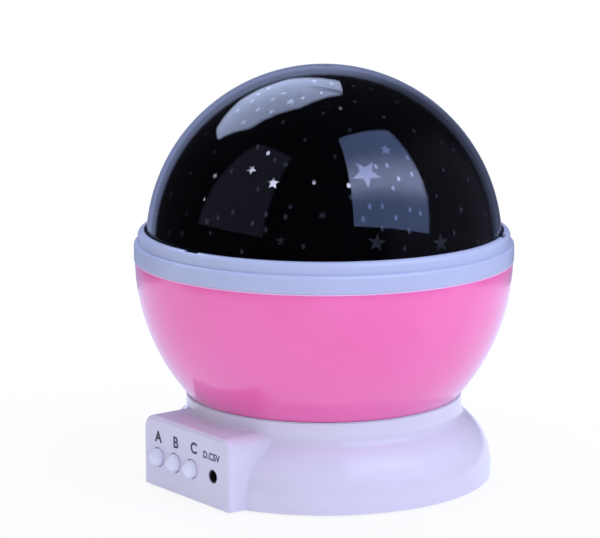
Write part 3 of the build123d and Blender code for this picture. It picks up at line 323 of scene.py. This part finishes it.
def sky_colour(glass, share_x, share_y):
    """Even sky inside the opening and nothing outside it."""
    x = share_x * sky_size[0] + sky_low[0]
    y = share_y * sky_size[1] + sky_low[1]

    def left_of(start, end):
        """1 to the left of the line from start to end."""
        side = (y - start[1]) * (end[0] - start[0]) - (x - start[0]) * (end[1] - start[1])
        return side.eased(0, sky_edge)

    opening = 1 - left_of(bar_foot, bar_ends[0]) * (1 - left_of(bar_foot, bar_ends[1]))
    for start, end in zip(sky_corners, sky_corners[1:] + sky_corners[:1]):
        opening = opening * left_of(start, end)
    return glass.between(opening, (0, 0, 0), sky_even)


skylight = soft_light(
    "skylight",
    centre=(sky_low[0] + sky_size[0] / 2, sky_low[1] + sky_size[1] / 2, ceiling_z),
    across=(sky_size[0], 0, 0),
    up=(0, sky_size[1], 0),
    radiance=1.0,
)
pane(skylight, sky_colour)
soft_light(
    "left_window",
    centre=(-0.115, -0.5, 0.59),
    across=(0.47, 0, 0),
    up=(0, 0, 0.82),
    radiance=0.15,
    colour=(0.58, 0.58, 1.0),
)


# ---------------------------------------------------------------- base
# Round foot with a console for the buttons, one moulding of glossy white polystyrene with a
# slight lavender cast. The panel's face is polished and its letters are pad-printed.
def dress(material, *names):
    """Gives CAD nodes a finish."""
    for name in names:
        for slot in nodes[name].material_slots:
            slot.material = material


def moulded(name, colour, shade, roughness, gloss=1.5, peel=0.12, bloom=0.0):
    """Injection-moulded plastic: faint clouds in its colour, flow marks and dust in its shine,
    and orange peel. Gloss is its refractive index, and bloom the weight of a pale sheen."""
    finish = Finish(bpy.data.materials.new(name))
    place = finish.node("ShaderNodeTexCoord", output="Object")
    cloud = finish.noise(place, 38.0, 4.0)
    flow = finish.noise(place, 110.0, 2.0)
    skin = finish.noise(place, 620.0, 2.0)
    dust = finish.noise(place, 1900.0, 1.0)
    shine = roughness * 0.8 + roughness * 0.4 * flow + 0.12 * dust.eased(0.66, 0.80)
    return finish.surfaced(
        {
            "Base Color": finish.between(cloud.eased(0.30, 0.70), shade, colour),
            "Roughness": shine,
            "IOR": gloss,
            "Normal": finish.bump(skin, peel, 0.08 * mm),
            "Sheen Weight": bloom,
            "Sheen Roughness": 0.40,
            "Sheen Tint": (0.62, 0.82, 1.0, 1.0),
        }
    )


white = moulded("white_plastic", (0.67, 0.635, 0.775), (0.64, 0.605, 0.75), 0.22)
dress(white, "base_shell")

print_black = moulded("pad_printing", (0.045, 0.035, 0.085), (0.035, 0.028, 0.07), 0.5)
panel_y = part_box("base_shell")[0][1]
ink = 0.03 * mm


def printed(words, name, middle_x, foot_z, height, weight):
    """Pad-printed words on the panel, upright and facing the front. The weight thickens their
    lines, as a share of the type's size."""
    text = bpy.data.curves.new(name, "FONT")
    text.body = words
    text.align_x = "CENTER"
    text.size = 1.0
    text.offset = weight
    text.extrude = 0.001  # only tells the front from the back: the ink's own thickness follows
    carrier = bpy.data.objects.new(name, text)
    scene.collection.objects.link(carrier)
    seen_now = bpy.context.evaluated_depsgraph_get()
    flat = bpy.data.meshes.new_from_object(carrier.evaluated_get(seen_now))
    bpy.data.objects.remove(carrier)
    low = min(v.co.y for v in flat.vertices)
    tall = max(v.co.y for v in flat.vertices) - low
    for v in flat.vertices:
        x, y, z = v.co
        v.co = (
            middle_x + x * height / tall,
            panel_y - (ink if z > 0 else 0),
            foot_z + (y - low) * height / tall,
        )
    flat.name = name
    letters = bpy.data.objects.new(name, flat)
    scene.collection.objects.link(letters)
    flat.materials.clear()
    flat.materials.append(print_black)
    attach(letters, "base")


letter_height = 4.1 * mm
letter_foot_z = 16.8 * mm
letter_weight = 0.036
b_weight = letter_weight * 0.75  # leaves its two counters open
c_foot_z = letter_foot_z + 0.3 * mm
marking_height = 2.6 * mm
marking_foot_z = 16.95 * mm
marking_weight = 0.034
printed("A", "letter_a", -16.1 * mm, letter_foot_z, letter_height, letter_weight)
printed("B", "letter_b", -5.8 * mm, letter_foot_z, letter_height, b_weight)
printed("C", "letter_c", 4.8 * mm, c_foot_z, letter_height, letter_weight)
printed("D.C5V", "socket_marking", 14.9 * mm, marking_foot_z, marking_height, marking_weight)

# ---------------------------------------------------------------- underside
# Plate with the battery bay, its door, the rubber feet and the screws that hold them. The
# plate and the door are the same white plastic with a spark-eroded texture.
plain_white = moulded(
    "textured_white_plastic", (0.60, 0.61, 0.83), (0.55, 0.56, 0.78), 0.48, peel=0.55
)
dress(plain_white, "base_plate", "battery_door")


def rubber(name):
    """Soft black rubber with a fine dry grain."""
    finish = Finish(bpy.data.materials.new(name))
    place = finish.node("ShaderNodeTexCoord", output="Object")
    grain = finish.noise(place, 1500.0, 3.0)
    bloom = finish.noise(place, 240.0, 3.0)
    return finish.surfaced(
        {
            "Base Color": finish.between(bloom, (0.028, 0.028, 0.030), (0.060, 0.060, 0.064)),
            "Roughness": 0.72 + 0.2 * bloom,
            "Normal": finish.bump(grain, 0.5, 0.1 * mm),
        }
    )


dress(rubber("foot_rubber"), *[f"rubber_foot_{n}" for n in range(1, 5)])


def metal(name, colour, stain, roughness, streak):
    """Plated or bare metal: fine drawing lines, small stains and a shine that wanders. A streak
    under 1 stretches the lines along Z, and one over 1 packs them."""
    finish = Finish(bpy.data.materials.new(name))
    place = finish.node("ShaderNodeTexCoord", output="Object")
    stretch = {"Vector": place, "Scale": (1.0, 1.0, streak)}
    lines = finish.noise(finish.node("ShaderNodeMapping", {}, stretch), 900.0, 3.0)
    spots = finish.noise(place, 300.0, 4.0)
    return finish.surfaced(
        {
            "Base Color": finish.between(spots.eased(0.45, 0.75), colour, stain),
            "Metallic": 1.0,
            "Roughness": roughness * 0.75 + roughness * 0.5 * lines,
            "Normal": finish.bump(lines, 0.15, 0.05 * mm),
        }
    )


zinc = metal("screw_steel", (0.62, 0.63, 0.66), (0.50, 0.49, 0.46), 0.30, 0.2)
dress(zinc, *[name for name in nodes if "_screw_" in name])
nickel = metal("contact_steel", (0.74, 0.73, 0.70), (0.60, 0.57, 0.50), 0.22, 6.0)
dress(nickel, *[name for name in nodes if name.startswith("contact_")])


class Layout(Finish):
    """A Geometry Nodes tree, with named sizes, that lays out one kind of repeated piece."""

    def __init__(self, name, **sizes):
        self.name = name
        self.sizes = sizes
        self.tree = bpy.data.node_groups.new(name, "GeometryNodeTree")
        sockets = self.tree.interface
        for way in ("INPUT", "OUTPUT"):
            sockets.new_socket("Geometry", in_out=way, socket_type="NodeSocketGeometry")
        for label, value in sizes.items():
            kind = "NodeSocketInt" if isinstance(value, int) else "NodeSocketFloat"
            sockets.new_socket(label, in_out="INPUT", socket_type=kind)
        self.entry = self.tree.nodes.new("NodeGroupInput")

    def size(self, label):
        """One of the named sizes."""
        return Value(self, self.entry.outputs[label])

    def vector(self, x=0.0, y=0.0, z=0.0):
        """Three numbers as one vector, for a place or a turn."""
        return self.node("ShaderNodeCombineXYZ", {}, {"X": x, "Y": y, "Z": z})

    def moved(self, geometry, place, turn=(0, 0, 0)):
        """Geometry that is turned and then shifted."""
        inputs = {"Geometry": geometry, "Translation": place, "Rotation": turn}
        return self.node("GeometryNodeTransform", {}, inputs)

    def on_points(self, points, instance, turn=(0, 0, 0)):
        """A copy of the instance on each point."""
        inputs = {"Points": points, "Instance": instance, "Rotation": turn}
        return self.node("GeometryNodeInstanceOnPoints", {}, inputs)

    def joined(self, *parts):
        """Several geometries as one."""
        both = self.tree.nodes.new("GeometryNodeJoinGeometry")
        for part in parts:
            self.tree.links.new(part.socket, both.inputs[0])
        return Value(self, both.outputs[0])

    def piece(self, geometry, material, body, slot, source=None):
        """Ends the tree, makes its plain mesh and lets it ride on a body."""
        whole = self.node("GeometryNodeRealizeInstances", {}, {"Geometry": geometry})
        dressed = {"Geometry": whole, "Material": material}
        dressed = self.node("GeometryNodeSetMaterial", {}, dressed)
        self.node("NodeGroupOutput", {}, {"Geometry": dressed})
        made = bpy.data.objects.new(self.name, source or bpy.data.meshes.new(self.name))
        scene.collection.objects.link(made)
        layout = made.modifiers.new("layout", "NODES")
        layout.node_group = self.tree
        for socket in self.tree.interface.items_tree:
            if socket.name in self.sizes:
                layout[socket.identifier] = self.sizes[socket.name]
        seen_now = bpy.context.evaluated_depsgraph_get()
        plain = bpy.data.meshes.new_from_object(made.evaluated_get(seen_now))
        made.modifiers.remove(layout)
        plain.name = self.name
        made.data = plain
        for face in plain.polygons:
            face.use_smooth = False
        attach(made, body)


# Polarity signs for the cells, moulded with the plate and proud of the bay's ceiling. The cells
# lie side by side, and every second one lies the other way round.
bay_wall = 1.5 * mm
bay_ceiling_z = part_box("base_plate")[1][2] - bay_wall
first_cell_y = -33.35 * mm
sign_x = 13.0 * mm
sign_half = 1.6 * mm
sign_bar = 0.35 * mm
sign_proud = 0.25 * mm
plus = [
    (sign_bar, sign_bar),
    (sign_bar, sign_half),
    (-sign_bar, sign_half),
    (-sign_bar, sign_bar),
    (-sign_half, sign_bar),
    (-sign_half, -sign_bar),
]
plus += [(-x, -y) for x, y in plus]
minus = [(sign_half, sign_bar), (-sign_half, sign_bar)]
minus += [(-x, -y) for x, y in minus]
signs = bmesh.new()
for outline, middle_x in ((plus, -sign_x), (minus, sign_x)):
    foot = [signs.verts.new((middle_x + x, y, 0.0)) for x, y in outline]
    top = [signs.verts.new((middle_x + x, y, -sign_proud)) for x, y in outline]
    signs.faces.new(foot)
    signs.faces.new(top)
    for n in range(len(outline)):
        signs.faces.new((foot[n - 1], foot[n], top[n], top[n - 1]))
bmesh.ops.recalc_face_normals(signs, faces=signs.faces)
sign_pair = bpy.data.meshes.new("sign_pair")
signs.to_mesh(sign_pair)
signs.free()

bay = Layout("bay_signs", Cells=4, Pitch=10.9 * mm)
row = bay.node(
    "GeometryNodeMeshLine",
    {},
    {
        "Count": bay.size("Cells"),
        "Start Location": (0, first_cell_y, bay_ceiling_z),
        "Offset": bay.vector(y=bay.size("Pitch")),
    },
)
cell_number = bay.node("GeometryNodeInputIndex")
every_second = bay.node("ShaderNodeMath", {"operation": "MODULO"}, {0: cell_number, 1: 2.0})
signs_laid = bay.on_points(row, bay.size("Geometry"), bay.vector(z=every_second * pi))
bay.piece(signs_laid, plain_white, "base", "white_plastic", source=sign_pair)

# ---------------------------------------------------------------- controls
# Green board on two posts behind the panel, with three key switches and the power socket.
# The caps on the switches are glossy white domes that stand out of the panel.
button_white = moulded(
    "button_plastic", (0.75, 0.76, 0.90), (0.72, 0.73, 0.88), 0.18, peel=0.06
)
dress(button_white, "button_a", "button_b", "button_c")


def laminate(name):
    """Green solder mask over glass weave, with the weave just showing."""
    finish = Finish(bpy.data.materials.new(name))
    place = finish.node("ShaderNodeTexCoord", output="Object")
    squares = {"Vector": place, "Scale": 1600.0}
    weave = finish.node("ShaderNodeTexChecker", {}, squares, "Fac")
    wash = finish.noise(place, 160.0, 3.0)
    cover = wash * 0.8 + weave * 0.2
    return finish.surfaced(
        {
            "Base Color": finish.between(cover, (0.010, 0.085, 0.030), (0.020, 0.150, 0.055)),
            "Roughness": 0.30 + 0.15 * wash,
            "Normal": finish.bump(weave, 0.2, 0.03 * mm),
        }
    )


green = laminate("board_laminate")
dress(green, "control_board")
black = moulded("switch_plastic", (0.020, 0.020, 0.022), (0.014, 0.014, 0.016), 0.45, peel=0.3)
dress(black, "tact_switch_a", "tact_switch_b", "tact_switch_c")
jack_black = moulded("jack_plastic", (0.012, 0.012, 0.014), (0.008, 0.008, 0.010), 0.5, peel=0.3)
dress(jack_black, "dc_jack")
dress(metal("pin_brass", (0.80, 0.60, 0.27), (0.62, 0.43, 0.18), 0.25, 0.2), "dc_pin")

# Solder joints of the switches, whose four legs each come through the board. They are small
# tin cones on its back.
solder = metal("solder_tin", (0.66, 0.67, 0.69), (0.50, 0.50, 0.51), 0.24, 1.0)
board_back_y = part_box("control_board")[1][1]
switch_low, switch_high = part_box("tact_switch_a")
switch_x = (switch_low[0] + switch_high[0]) / 2
switch_z = (switch_low[2] + switch_high[2]) / 2
switch_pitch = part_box("tact_switch_b")[0][0] - switch_low[0]
joint_taper = 0.35  # a joint's tip, as a share of its foot

joints = Layout(
    "switch_joints",
    Switches=3,
    Pitch=switch_pitch,
    Legs_across=6.5 * mm,
    Legs_up=4.5 * mm,
    Joint_radius=0.75 * mm,
    Joint_height=0.8 * mm,
)
switch_row = joints.node(
    "GeometryNodeMeshLine",
    {},
    {
        "Count": joints.size("Switches"),
        "Start Location": (switch_x, board_back_y, switch_z),
        "Offset": joints.vector(x=joints.size("Pitch")),
    },
)
legs = joints.node(
    "GeometryNodeMeshGrid",
    {},
    {
        "Size X": joints.size("Legs_across"),
        "Size Y": joints.size("Legs_up"),
        "Vertices X": 2,
        "Vertices Y": 2,
    },
)
cone = joints.node(
    "GeometryNodeMeshCone",
    {},
    {
        "Vertices": 20,
        "Side Segments": 3,
        "Radius Top": joints.size("Joint_radius") * joint_taper,
        "Radius Bottom": joints.size("Joint_radius"),
        "Depth": joints.size("Joint_height"),
    },
)
four = joints.moved(joints.on_points(legs, cone), (0, 0, 0), (-pi / 2, 0, 0))
joints.piece(joints.on_points(switch_row, four), solder, "base", "contact_steel")

# ---------------------------------------------------------------- drive
# Geared motor under the deck: pressed steel can and gearbox, an acetal pinion on its shaft and
# the big acetal gear that is screwed under the bowl.
steel = metal("motor_metal", (0.58, 0.59, 0.61), (0.46, 0.46, 0.45), 0.33, 0.15)
dress(steel, "motor", "motor_shaft")
acetal = moulded("gear_plastic", (0.80, 0.79, 0.70), (0.74, 0.73, 0.63), 0.38, peel=0.2)
dress(acetal, "drive_pinion", "turntable_gear")

# ---------------------------------------------------------------- lamp post
# Fixed tube through the bowl's hub, with a nylon washer under the bowl and a spring clip above
# it. The holder on top carries the lamps.
post_white = moulded("post_plastic", (0.60, 0.60, 0.64), (0.55, 0.55, 0.60), 0.40, peel=0.3)
dress(post_white, "lamp_post", "lamp_holder")
nylon = moulded("washer_plastic", (0.74, 0.74, 0.70), (0.68, 0.68, 0.64), 0.35)
dress(nylon, "thrust_washer")
spring_steel = metal("clip_steel", (0.40, 0.41, 0.44), (0.24, 0.25, 0.30), 0.30, 0.15)
dress(spring_steel, "retaining_clip")
dress(green, "led_board")


def clear(name, colour, roughness, haze):
    """Clear moulding: polished outside, with light rubbing that takes the edge off its shine."""
    finish = Finish(bpy.data.materials.new(name))
    place = finish.node("ShaderNodeTexCoord", output="Object")
    rub = finish.noise(place, 90.0, 5.0)
    wave = finish.noise(place, 55.0, 1.0)
    return finish.surfaced(
        {
            "Base Color": finish.between(rub, colour, tuple(0.97 * c for c in colour)),
            "Roughness": roughness + haze * rub.eased(0.45, 0.80),
            "IOR": 1.49,
            "Transmission Weight": 1.0,
            "Normal": finish.bump(wave, 0.06, 0.15 * mm),
        }
    )


lens_clear = clear("led_epoxy", (0.96, 0.97, 1.0), 0.03, 0.02)
dress(lens_clear, "led_1", "led_2", "led_3", "led_4")
cap_clear = clear("lamp_cap_plastic", (0.95, 0.96, 0.99), 0.16, 0.10)
dress(cap_clear, "lamp_cap")

# Lead frames of nickel-plated steel, cast into the lamps: a bare post, and beside it an anvil
# with the cup that the chip sits in.
lamp_low, lamp_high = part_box("led_1")
lamp_foot_z = lamp_low[2]
lamp_spread = lamp_low[0] + lamp_high[0]
frame_lift = 0.05 * mm
frames = Layout(
    "lamp_frames",
    Spread=lamp_spread,
    Gap=1.1 * mm,
    Post_radius=0.25 * mm,
    Post_height=3.3 * mm,
    Anvil_height=2.4 * mm,
    Cup_radius=0.85 * mm,
    Cup_depth=0.7 * mm,
)
lamps = frames.node(
    "GeometryNodeMeshGrid",
    {},
    {
        "Size X": frames.size("Spread"),
        "Size Y": frames.size("Spread"),
        "Vertices X": 2,
        "Vertices Y": 2,
    },
)


def rod(layout, x, foot, height, low_radius, high_radius):
    """Round rod or cone that stands on a height above the foot of its lamp."""
    sizes = {"Radius Top": high_radius, "Radius Bottom": low_radius, "Depth": height}
    upright = layout.node("GeometryNodeMeshCone", {}, {"Vertices": 20, **sizes})
    return layout.moved(upright, layout.vector(x=x, z=foot))


half_gap = frames.size("Gap") * 0.5
bare_post_x = half_gap * -1.4  # clear of the cup
post_radius = frames.size("Post_radius")
anvil_radius = post_radius * 1.4
anvil_height = frames.size("Anvil_height")
cup_radius = frames.size("Cup_radius")
lead_frame = frames.joined(
    rod(frames, bare_post_x, 0.0, frames.size("Post_height"), post_radius, post_radius),
    rod(frames, half_gap, 0.0, anvil_height, anvil_radius, anvil_radius),
    rod(frames, half_gap, anvil_height, frames.size("Cup_depth"), anvil_radius, cup_radius),
)
all_frames = frames.on_points(lamps, lead_frame)
standing = frames.moved(all_frames, (0, 0, lamp_foot_z + frame_lift))
frames.piece(standing, nickel, "base", "contact_steel")

# Series resistors between the lamps, black ceramic chips that are soldered at their tinned
# ends. Each row is a piece's name, finish and slot, its length, width and height in
# millimetres, and whether a chip has two of it.
for label, finish, slot, length, width, height, ends in (
    ("lamp_resistors", black, "switch_plastic", 1.30, 0.80, 0.45, False),
    ("resistor_ends", solder, "contact_steel", 0.30, 0.86, 0.50, True),
):
    chips = Layout(label, Chips=4, Circle=7.2 * mm, Chip_length=1.9 * mm)
    circle = {"Vertices": chips.size("Chips"), "Radius": chips.size("Circle")}
    ring = chips.node("GeometryNodeMeshCircle", {}, circle)
    block_size = (width * mm, length * mm, height * mm)
    block = chips.node("GeometryNodeMeshCube", {}, {"Size": block_size})
    if ends:
        half = chips.size("Chip_length") * 0.5 - length * mm / 2
        block = chips.joined(
            chips.moved(block, chips.vector(y=half)),
            chips.moved(block, chips.vector(y=half * -1)),
        )
    turn = chips.node("GeometryNodeInputIndex") * (pi / 2)
    blocks = chips.on_points(ring, block, chips.vector(z=turn))
    around_lamps = chips.moved(blocks, (0, 0, lamp_foot_z + height * mm / 2))
    chips.piece(around_lamps, finish, "base", slot)


def sleeve(name, colour):
    """Soft PVC over a wire, with a dull skin and faint stretch marks along it."""
    finish = Finish(bpy.data.materials.new(name))
    place = finish.node("ShaderNodeTexCoord", output="Object")
    mark = finish.noise(place, 500.0, 3.0)
    return finish.surfaced(
        {
            "Base Color": finish.between(mark, colour, tuple(0.7 * c for c in colour)),
            "Roughness": 0.42 + 0.2 * mark,
        }
    )


dress(sleeve("lead_sleeve", (0.055, 0.055, 0.060)), "lamp_lead", "motor_lead", "battery_lead")

# ---------------------------------------------------------------- bowl
# Pink bowl that turns on the post, high-gloss polystyrene. The white rim snaps into it and
# carries the dome, and a satin white reflector closes it round the lamp.
pink = moulded(
    "pink_plastic",
    (0.90, 0.121, 0.430),
    (0.88, 0.107, 0.400),
    0.16,
    gloss=1.8,
    peel=0.05,
    bloom=0.45,
)
dress(pink, "bowl_shell")
rim_white = moulded("rim_plastic", (0.47, 0.51, 0.73), (0.45, 0.49, 0.71), 0.20, peel=0.06)
dress(rim_white, "bowl_rim")
satin_white = moulded(
    "reflector_plastic", (0.70, 0.71, 0.78), (0.66, 0.67, 0.75), 0.42, peel=0.2
)
dress(satin_white, "inner_plate")


def turned(name, outline, material, body):
    """Piece of revolution about the axis, from an outline of radius and height."""
    steps = 128
    merged = 0.001 * mm
    mesh = bmesh.new()
    rings = []
    for step in range(steps):
        angle = 2 * pi * step / steps
        rings.append([mesh.verts.new((r * cos(angle), r * sin(angle), z)) for r, z in outline])
    for step in range(steps):
        first = rings[step]
        second = rings[(step + 1) % steps]
        for n in range(len(outline)):
            m = (n + 1) % len(outline)
            mesh.faces.new((first[n], second[n], second[m], first[m]))
    bmesh.ops.remove_doubles(mesh, verts=mesh.verts, dist=merged)
    bmesh.ops.dissolve_degenerate(mesh, dist=merged, edges=mesh.edges)
    bmesh.ops.recalc_face_normals(mesh, faces=mesh.faces)
    data = bpy.data.meshes.new(name)
    mesh.to_mesh(data)
    mesh.free()
    for face in data.polygons:
        face.use_smooth = True
    piece = bpy.data.objects.new(name, data)
    scene.collection.objects.link(piece)
    data.materials.append(material)
    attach(piece, body)


# Thin ring of the base's own plastic, moulded on top of its neck. It keeps dust out of the gap
# under the turning bowl.
neck_top_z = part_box("base_shell")[1][2]
ring_outer = 48.3 * mm
ring_inner = 47.3 * mm
ring_height = 0.38 * mm
ring_bevel = 0.1 * mm
ring_top_z = neck_top_z + ring_height
ring_outline = [
    (ring_inner, neck_top_z),
    (ring_outer, neck_top_z),
    (ring_outer, ring_top_z - ring_bevel),
    (ring_outer - ring_bevel, ring_top_z),
    (ring_inner + ring_bevel, ring_top_z),
    (ring_inner, ring_top_z - ring_bevel),
]
turned("dust_ring", ring_outline, white, "base")

# Pale bead round the top of the bowl, seated in its wall, which the rim's lower edge comes down
# on.
# Its pale pink is a painted highlight: it stands in for the line of light along the bowl's top
# edge.
painted_highlight_bead = moulded(
    "painted_highlight_bead", (0.84, 0.52, 0.80), (0.80, 0.47, 0.75), 0.22, peel=0.05
)
bead_inner = 65.6 * mm
bead_outer = 66.42 * mm
bead_height = 0.5 * mm
bead_bevel = 0.15 * mm
rim_gap = 0.02 * mm
bead_top_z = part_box("bowl_shell")[1][2] - rim_gap
bead_foot_z = bead_top_z - bead_height
bead_outline = [
    (bead_inner, bead_foot_z),
    (bead_outer - bead_bevel, bead_foot_z),
    (bead_outer, bead_foot_z + bead_bevel),
    (bead_outer, bead_top_z),
    (bead_inner, bead_top_z),
]
turned("bowl_painted_highlight_bead", bead_outline, painted_highlight_bead, "bowl")

# ---------------------------------------------------------------- dome
# Clear polished hemisphere over a black printed film. The ink leaves a clear window for each
# star and dot, and the film itself is a thin, slightly hazy sheet that fills these windows.
dome_clear = clear("clear_plastic", (0.97, 0.975, 1.0), 0.012, 0.015)
dress(dome_clear, "dome_cover")
dome_ink = moulded(
    "printed_film", (0.0016, 0.0014, 0.0026), (0.0012, 0.0011, 0.002), 0.6, gloss=1.1, peel=0.1
)
dress(dome_ink, "star_mask")


def hazy_sheet(name):
    """Clear film with a bright skin, which scatters a little of the light that passes."""
    finish = Finish(bpy.data.materials.new(name))
    place = finish.node("ShaderNodeTexCoord", output="Object")
    cloud = finish.noise(place, 70.0, 3.0)
    return finish.surfaced(
        {
            "Base Color": finish.between(cloud, (0.93, 0.94, 1.0), (0.86, 0.88, 0.95)),
            "Roughness": 0.03 + 0.05 * cloud,
            "IOR": 1.65,
            "Transmission Weight": 0.94,
        }
    )


film_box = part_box("star_mask")
film_edge = radians(2)  # elevation of the film's edge above its centre
film_radius = (film_box[1][2] - film_box[0][2]) / (1 - sin(film_edge))
film_centre_z = film_box[1][2] - film_radius
film_thickness = 0.35 * mm
film_skin = 0.08 * mm  # of ink over each face of the clear sheet
sheet_outer = film_radius - film_skin
sheet_inner = film_radius - film_thickness + film_skin
sheet_spans = 40
sheet_reach = pi / 2 - 2 * film_edge
sheet_angles = [film_edge + sheet_reach * n / sheet_spans for n in range(sheet_spans + 1)]
sheet_outline = [
    (radius * cos(angle), film_centre_z + radius * sin(angle))
    for radius, angles in ((sheet_outer, sheet_angles), (sheet_inner, sheet_angles[::-1]))
    for angle in angles
]
turned("film_base", sheet_outline, hazy_sheet("film_base"), "dome")
